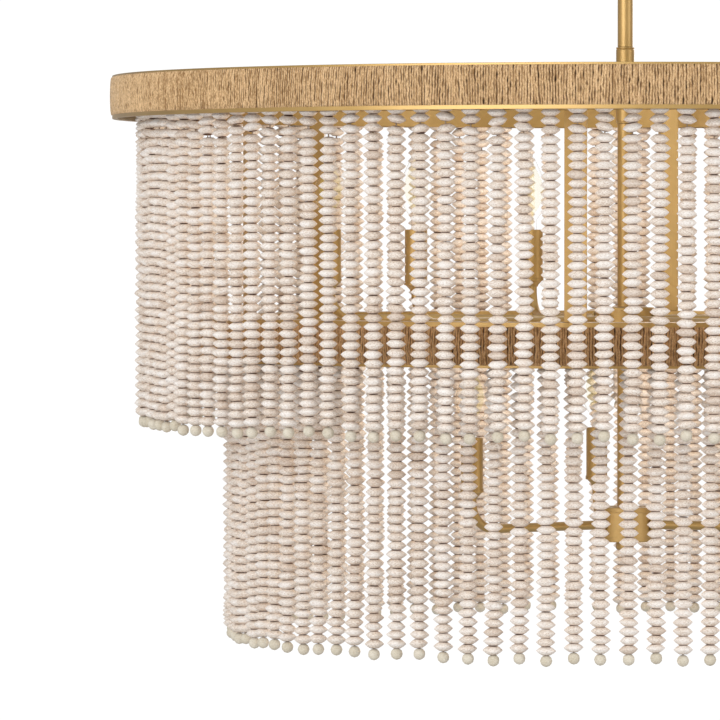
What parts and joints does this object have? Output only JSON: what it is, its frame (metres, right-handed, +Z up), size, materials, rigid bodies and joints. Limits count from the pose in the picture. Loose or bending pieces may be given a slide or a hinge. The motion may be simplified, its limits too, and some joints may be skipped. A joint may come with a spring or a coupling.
{
  "type": "beaded drum chandelier",
  "caption": "Round two-tier chandelier: twine-wound brass hoops hung with strands of wooden beads round two clusters of candle lights, on a stem with a ceiling swivel.",
  "frame": {"origin": "centre of the ceiling bracket's upper face, where it meets the ceiling", "axes": "+Z up into the ceiling, -Y towards the side that the picture shows, +X to that view's right"},
  "size_m": [1.0668, 1.0668, 0.9832],
  "materials": {
    "brass": "satin brushed gold",
    "steel": "zinc plated",
    "twine": "wound jute twine",
    "beads": "whitewashed wood with open grain",
    "phenolic": "moulded phenolic",
    "bulb": "clear glass, lit"
  },
  "bodies": {
    "ceiling_fitting": {"ceiling_bracket": "steel", "canopy": "brass", "canopy_ring_nut": "brass", "swivel_socket": "brass"},
    "swivel": {"swivel_block": "brass"},
    "hanging_frame": {"ceiling_stem": "brass", "stem_coupling": "brass", "frame_spider": "brass", "inner_stem_upper": "brass", "upper_hub": "brass", "inner_stem_lower": "brass", "lower_hub": "brass", "finial": "brass", "upper_hoop_channel": "brass", "upper_hoop_twine": "twine", "lower_hoop_channel": "brass", "lower_hoop_twine": "twine", "upper_strands_1": "beads", "upper_strands_2": "beads", "upper_strands_3": "beads", "upper_strands_4": "beads", "lower_strands_1": "beads", "lower_strands_2": "beads", "lower_strands_3": "beads", "upper_arm_1": "brass", "upper_arm_2": "brass", "upper_arm_3": "brass", "upper_arm_4": "brass", "upper_arm_5": "brass", "upper_arm_6": "brass", "lower_arm_1": "brass", "lower_arm_2": "brass", "lower_arm_3": "brass", "upper_lamp_holder_1": "phenolic", "upper_lamp_holder_2": "phenolic", "upper_lamp_holder_3": "phenolic", "upper_lamp_holder_4": "phenolic", "upper_lamp_holder_5": "phenolic", "upper_lamp_holder_6": "phenolic", "lower_lamp_holder_1": "phenolic", "lower_lamp_holder_2": "phenolic", "lower_lamp_holder_3": "phenolic", "upper_candle_sleeve_1": "brass", "upper_candle_sleeve_2": "brass", "upper_candle_sleeve_3": "brass", "upper_candle_sleeve_4": "brass", "upper_candle_sleeve_5": "brass", "upper_candle_sleeve_6": "brass", "lower_candle_sleeve_1": "brass", "lower_candle_sleeve_2": "brass", "lower_candle_sleeve_3": "brass"},
    "bulb_upper_1": {"upper_bulb_1": "bulb"},
    "bulb_upper_2": {"upper_bulb_2": "bulb"},
    "bulb_upper_3": {"upper_bulb_3": "bulb"},
    "bulb_upper_4": {"upper_bulb_4": "bulb"},
    "bulb_upper_5": {"upper_bulb_5": "bulb"},
    "bulb_upper_6": {"upper_bulb_6": "bulb"},
    "bulb_lower_1": {"lower_bulb_1": "bulb"},
    "bulb_lower_2": {"lower_bulb_2": "bulb"},
    "bulb_lower_3": {"lower_bulb_3": "bulb"}
  },
  "joints": [
    {"name": "swivel_tilt_x", "type": "hinge", "parent": "ceiling_fitting", "child": "swivel", "pos_m": [0, 0, -0.0466], "axis": [1, 0, 0], "range_deg": [-20, 20]},
    {"name": "swivel_tilt_y", "type": "hinge", "parent": "swivel", "child": "hanging_frame", "pos_m": [0, 0, -0.0466], "axis": [0, 1, 0], "range_deg": [-20, 20]},
    {"name": "upper_bulb_1_turn", "type": "hinge", "parent": "hanging_frame", "child": "bulb_upper_1", "pos_m": [-0.20831, -0.23628, -0.55], "axis": [0, 0, 1], "range_deg": [0, 1080]},
    {"name": "upper_bulb_2_turn", "type": "hinge", "parent": "hanging_frame", "child": "bulb_upper_2", "pos_m": [0.10047, -0.29855, -0.55], "axis": [0, 0, 1], "range_deg": [0, 1080]},
    {"name": "upper_bulb_3_turn", "type": "hinge", "parent": "hanging_frame", "child": "bulb_upper_3", "pos_m": [0.30878, -0.06226, -0.55], "axis": [0, 0, 1], "range_deg": [0, 1080]},
    {"name": "upper_bulb_4_turn", "type": "hinge", "parent": "hanging_frame", "child": "bulb_upper_4", "pos_m": [0.20831, 0.23628, -0.55], "axis": [0, 0, 1], "range_deg": [0, 1080]},
    {"name": "upper_bulb_5_turn", "type": "hinge", "parent": "hanging_frame", "child": "bulb_upper_5", "pos_m": [-0.10047, 0.29855, -0.55], "axis": [0, 0, 1], "range_deg": [0, 1080]},
    {"name": "upper_bulb_6_turn", "type": "hinge", "parent": "hanging_frame", "child": "bulb_upper_6", "pos_m": [-0.30878, 0.06226, -0.55], "axis": [0, 0, 1], "range_deg": [0, 1080]},
    {"name": "lower_bulb_1_turn", "type": "hinge", "parent": "hanging_frame", "child": "bulb_lower_1", "pos_m": [-0.15531, -0.12442, -0.76], "axis": [0, 0, 1], "range_deg": [0, 1080]},
    {"name": "lower_bulb_2_turn", "type": "hinge", "parent": "hanging_frame", "child": "bulb_lower_2", "pos_m": [0.18541, -0.07229, -0.76], "axis": [0, 0, 1], "range_deg": [0, 1080]},
    {"name": "lower_bulb_3_turn", "type": "hinge", "parent": "hanging_frame", "child": "bulb_lower_3", "pos_m": [-0.0301, 0.19671, -0.76], "axis": [0, 0, 1], "range_deg": [0, 1080]}
  ]
}
